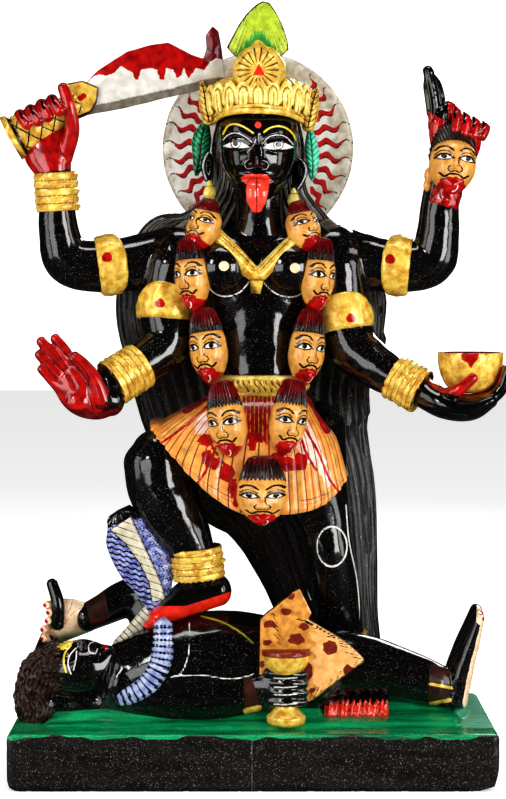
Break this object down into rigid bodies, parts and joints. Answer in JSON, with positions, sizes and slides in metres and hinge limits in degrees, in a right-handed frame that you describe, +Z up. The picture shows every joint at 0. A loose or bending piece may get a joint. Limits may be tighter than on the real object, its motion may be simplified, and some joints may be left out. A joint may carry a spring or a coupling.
{
  "type": "kali figure",
  "caption": "Painted black stone figure of Kali standing on the reclining Shiva, with halo, sword, severed head and bowl, carved with its plinth from one block.",
  "frame": {"origin": "centre of the plinth's flat underside", "axes": "+Z up through the figure's height, +X to the viewer's right, and the figure faces -Y"},
  "size_m": [0.4038, 0.17, 0.6098],
  "materials": {
    "black_stone": "polished black marble, glossy, with enamel paint"
  },
  "bodies": {
    "root": {"kali_figure": "black_stone"}
  },
  "joints": []
}
